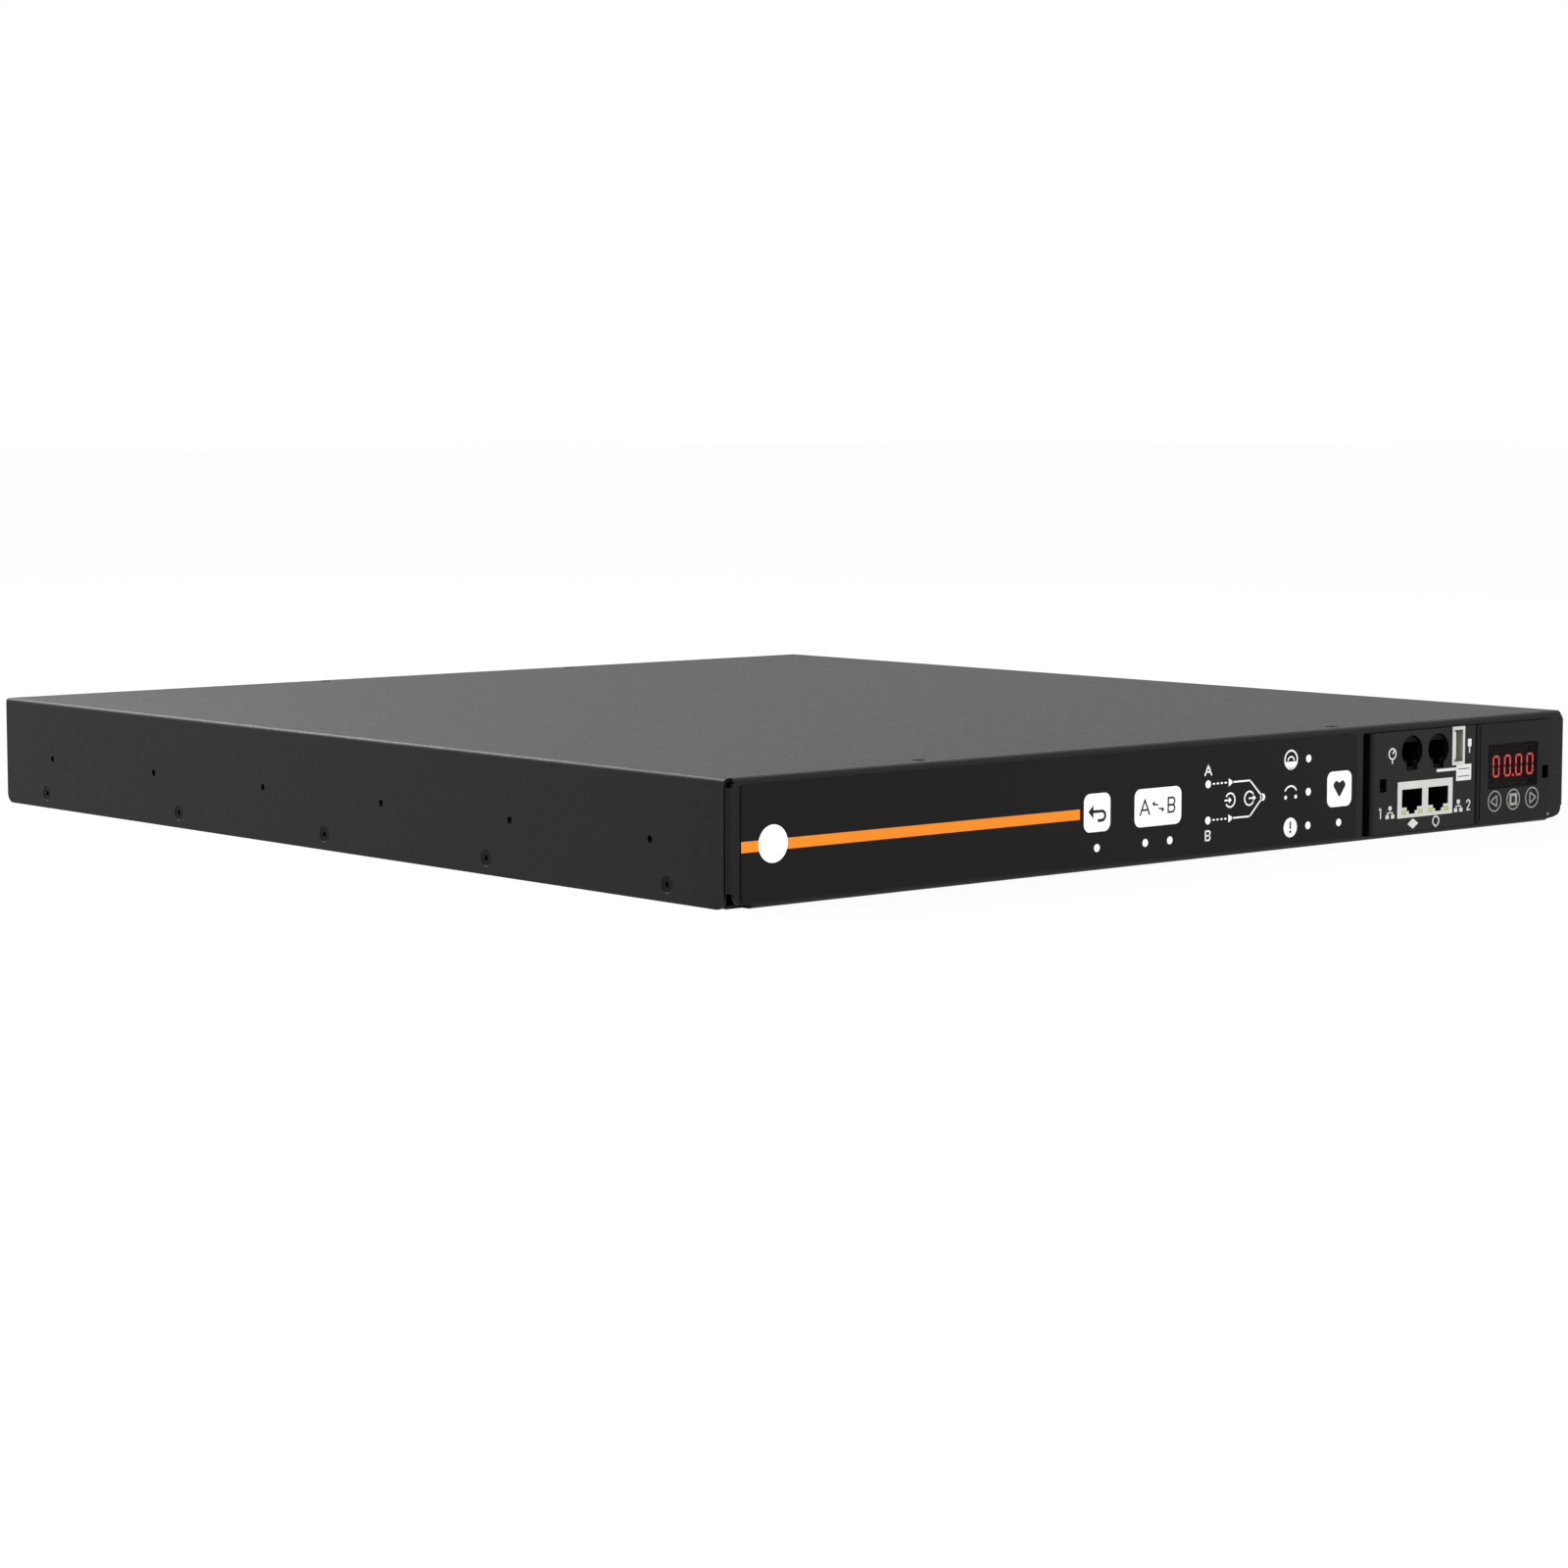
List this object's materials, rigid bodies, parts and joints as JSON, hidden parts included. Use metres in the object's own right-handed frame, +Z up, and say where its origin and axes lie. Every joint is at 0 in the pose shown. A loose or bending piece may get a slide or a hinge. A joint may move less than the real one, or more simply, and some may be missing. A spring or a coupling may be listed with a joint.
{
  "type": "rack static transfer switch",
  "caption": "Low black rack case with a printed key panel and a plug-in network and display module in front, two mains inlets and a row of outlets behind.",
  "frame": {"origin": "centre of the underside of the case", "axes": "+X to the right of someone facing the front, +Y to the rear, +Z up"},
  "size_m": [0.438, 0.4791, 0.0436],
  "materials": {
    "case_paint": "fine black powder coat",
    "plate_paint": "satin black paint",
    "dark_screw": "black oxide",
    "plated_steel": "zinc plated",
    "film_black": "fine matt printed film",
    "board_green": "solder resist",
    "black_plastic": "moulded",
    "pale_plastic": "moulded",
    "jack_metal": "tin plated",
    "contact_gold": "gold plated",
    "contact_brass": "stamped",
    "lamp_green": "diffusing",
    "lamp_white": "diffusing",
    "lens_dark": "smoked acrylic",
    "segment_red": "lit",
    "copper": "plain copper",
    "extrusion": "extruded",
    "filter_can": "drawn can",
    "lead_brown": "insulation",
    "lead_blue": "insulation",
    "sleeve_blue": "shrink sleeve",
    "winding_yellow": "tape",
    "sensor_blue": "moulded",
    "cable_grey": "flat cable"
  },
  "bodies": {
    "root": {"tray": "case_paint", "cover": "case_paint", "cover_screws": "dark_screw", "bracket_nuts": "plated_steel", "key_film": "film_black", "control_board": "board_green", "panel_studs": "plated_steel", "panel_nuts": "plated_steel", "panel_lamps": "lamp_white", "snap_domes": "plated_steel", "port_plate": "plate_paint", "display_plate": "plate_paint", "display_film": "film_black", "module_frame": "plated_steel", "port_board": "board_green", "display_board": "board_green", "network_shield": "jack_metal", "network_body": "black_plastic", "network_contacts": "contact_gold", "network_lamps": "lamp_green", "sensor_jack_1": "black_plastic", "sensor_jack_2": "black_plastic", "usb_shell": "jack_metal", "usb_tongue": "pale_plastic", "display_lens": "lens_dark", "digit_block": "black_plastic", "digit_segments": "segment_red", "module_plug": "black_plastic", "module_socket": "pale_plastic", "flat_cable": "cable_grey", "current_sensor": "sensor_blue", "inlet_a": "black_plastic", "inlet_b": "black_plastic", "inlet_pins_a": "jack_metal", "inlet_pins_b": "jack_metal", "inlet_screws": "plated_steel", "large_outlet": "black_plastic", "large_contacts": "contact_brass", "outlet_bank_1": "black_plastic", "outlet_bank_2": "black_plastic", "strips_1": "contact_brass", "strips_2": "contact_brass", "earth_stud": "contact_brass", "earth_washer": "plated_steel", "earth_nut": "plated_steel", "line_filter_a": "filter_can", "line_filter_b": "filter_can", "input_leads_a": "lead_brown", "input_leads_b": "lead_blue", "heat_sink_a": "extrusion", "heat_sink_b": "extrusion", "thyristor_a": "black_plastic", "thyristor_b": "black_plastic", "link_bars": "copper", "terminal_screws": "plated_steel", "power_board": "board_green", "supply_blocks": "winding_yellow", "capacitors": "sleeve_blue", "logic_board": "board_green", "standoffs": "plated_steel"}
  },
  "joints": []
}
